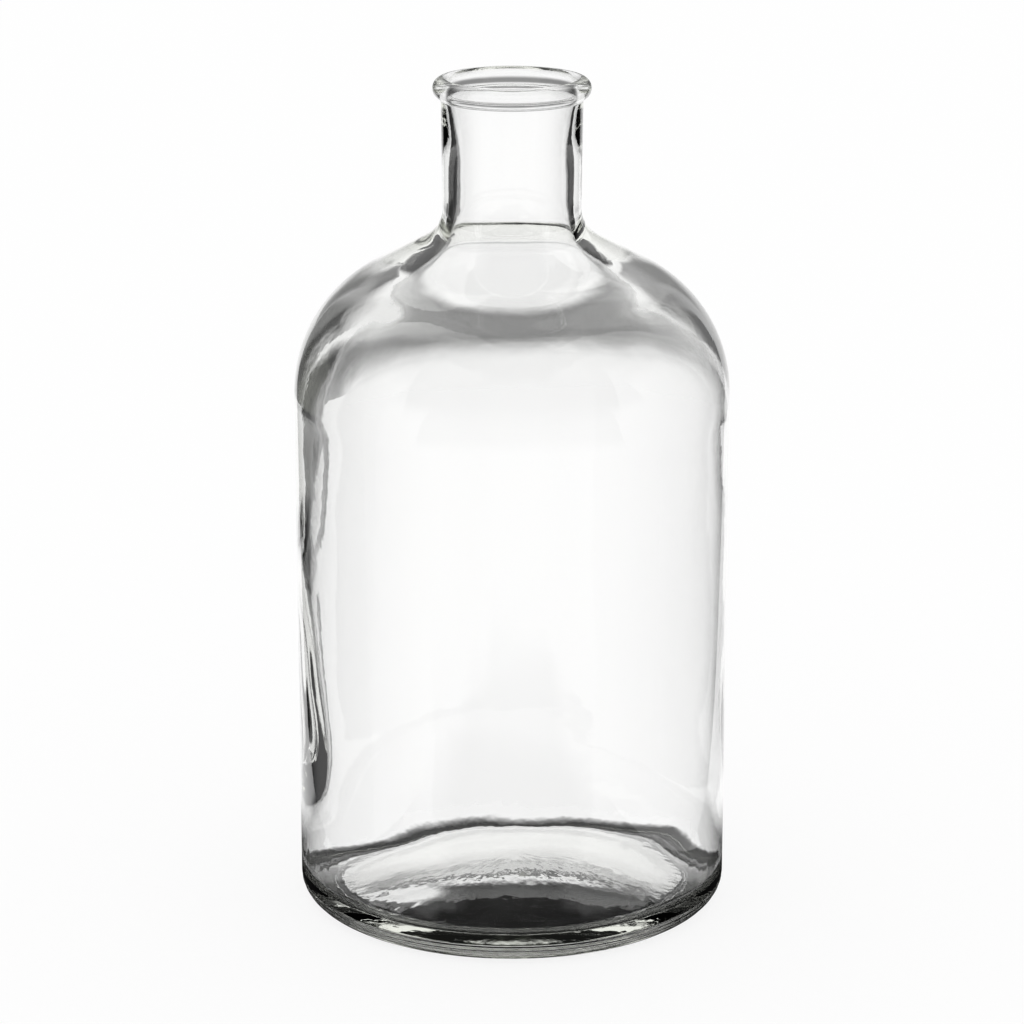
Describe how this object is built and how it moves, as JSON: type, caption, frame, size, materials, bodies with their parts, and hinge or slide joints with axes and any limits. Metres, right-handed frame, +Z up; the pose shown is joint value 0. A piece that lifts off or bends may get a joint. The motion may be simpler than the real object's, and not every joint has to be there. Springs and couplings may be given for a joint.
{
  "type": "bottle vase",
  "caption": "Clear glass bottle vase with a cylindrical body, round shoulder, straight neck, rolled rim and pushed-up base.",
  "frame": {"origin": "centre of the foot ring, on the surface that the vase stands on", "axes": "+Z up along the bottle's axis, out of the mouth; +X and +Y are any two directions across the round body"},
  "size_m": [0.1444, 0.1444, 0.28],
  "materials": {
    "clear_glass": "clear, fire-polished, slightly wavy inside"
  },
  "bodies": {
    "root": {"glass_bottle": "clear_glass"}
  },
  "joints": []
}
